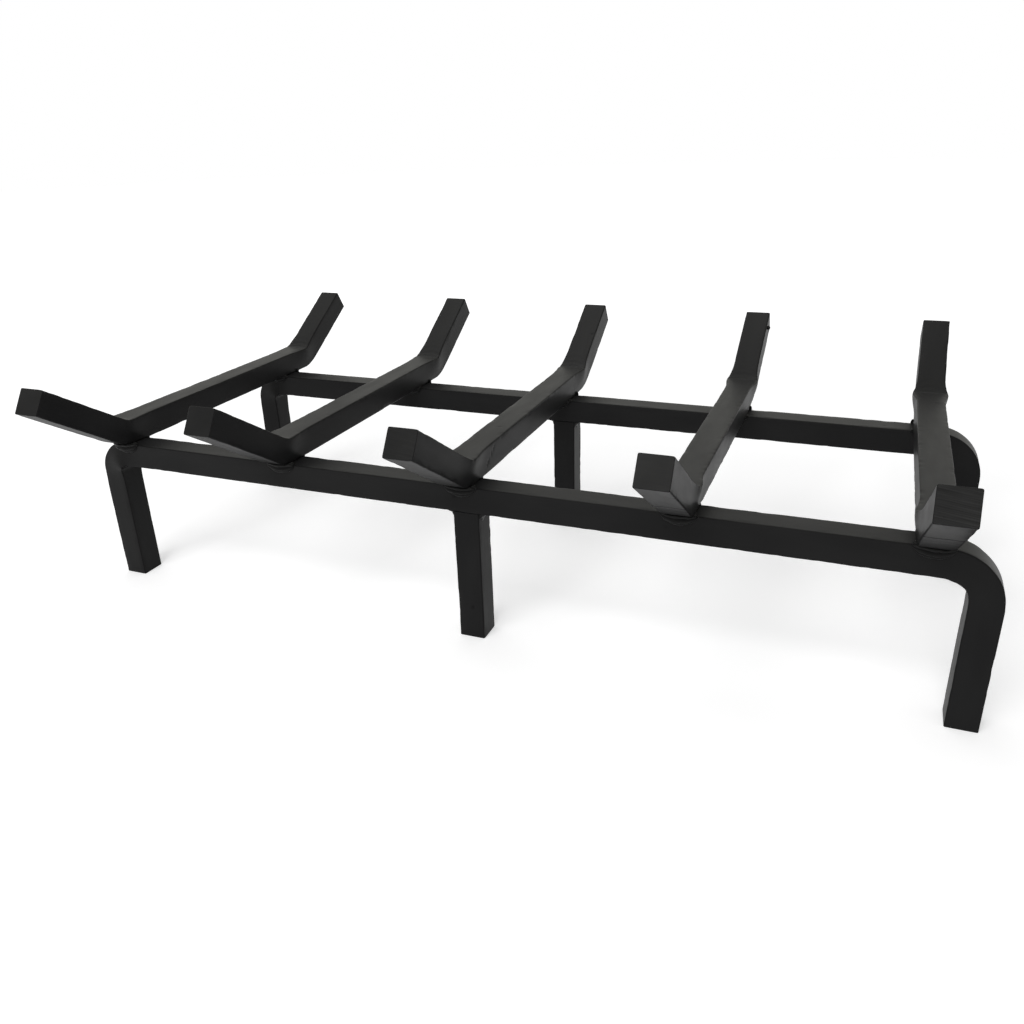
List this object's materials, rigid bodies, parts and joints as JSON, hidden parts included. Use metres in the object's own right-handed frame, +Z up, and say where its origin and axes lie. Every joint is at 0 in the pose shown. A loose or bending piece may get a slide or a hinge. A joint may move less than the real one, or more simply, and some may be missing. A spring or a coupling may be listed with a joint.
{
  "type": "fireplace log grate",
  "caption": "Welded square-bar log grate: two rails bent down into end legs, a centre leg under each rail, and log bars bent up at front and rear to cradle firewood.",
  "frame": {"origin": "on the floor, midway between the tips of the front and rear arms and midway between the end legs", "axes": "+X along the rails to the viewer's right, +Y from the front arms to the rear arms, +Z up"},
  "size_m": [0.644, 0.3966, 0.1783],
  "materials": {
    "black_bar": "satin black heat-resistant paint over sawn and bent hot-rolled bar, slightly uneven, a little lighter along worn edges",
    "black_weld": "the same black paint over weld metal, lumpy and a little glossier on the ripples"
  },
  "bodies": {
    "root": {"front_rail": "black_bar", "front_centre_leg": "black_bar", "front_leg_left_fillet": "black_weld", "front_leg_right_fillet": "black_weld", "rear_rail": "black_bar", "rear_centre_leg": "black_bar", "rear_leg_left_fillet": "black_weld", "rear_leg_right_fillet": "black_weld", "log_bar_1": "black_bar", "log_bar_2": "black_bar", "log_bar_3": "black_bar", "log_bar_4": "black_bar", "log_bar_5": "black_bar", "front_rail_outer_weld_1": "black_weld", "front_rail_outer_weld_2": "black_weld", "front_rail_outer_weld_3": "black_weld", "front_rail_outer_weld_4": "black_weld", "front_rail_outer_weld_5": "black_weld", "front_rail_inner_weld_1": "black_weld", "front_rail_inner_weld_2": "black_weld", "front_rail_inner_weld_3": "black_weld", "front_rail_inner_weld_4": "black_weld", "front_rail_inner_weld_5": "black_weld", "rear_rail_outer_weld_1": "black_weld", "rear_rail_outer_weld_2": "black_weld", "rear_rail_outer_weld_3": "black_weld", "rear_rail_outer_weld_4": "black_weld", "rear_rail_outer_weld_5": "black_weld", "rear_rail_inner_weld_1": "black_weld", "rear_rail_inner_weld_2": "black_weld", "rear_rail_inner_weld_3": "black_weld", "rear_rail_inner_weld_4": "black_weld", "rear_rail_inner_weld_5": "black_weld"}
  },
  "joints": []
}
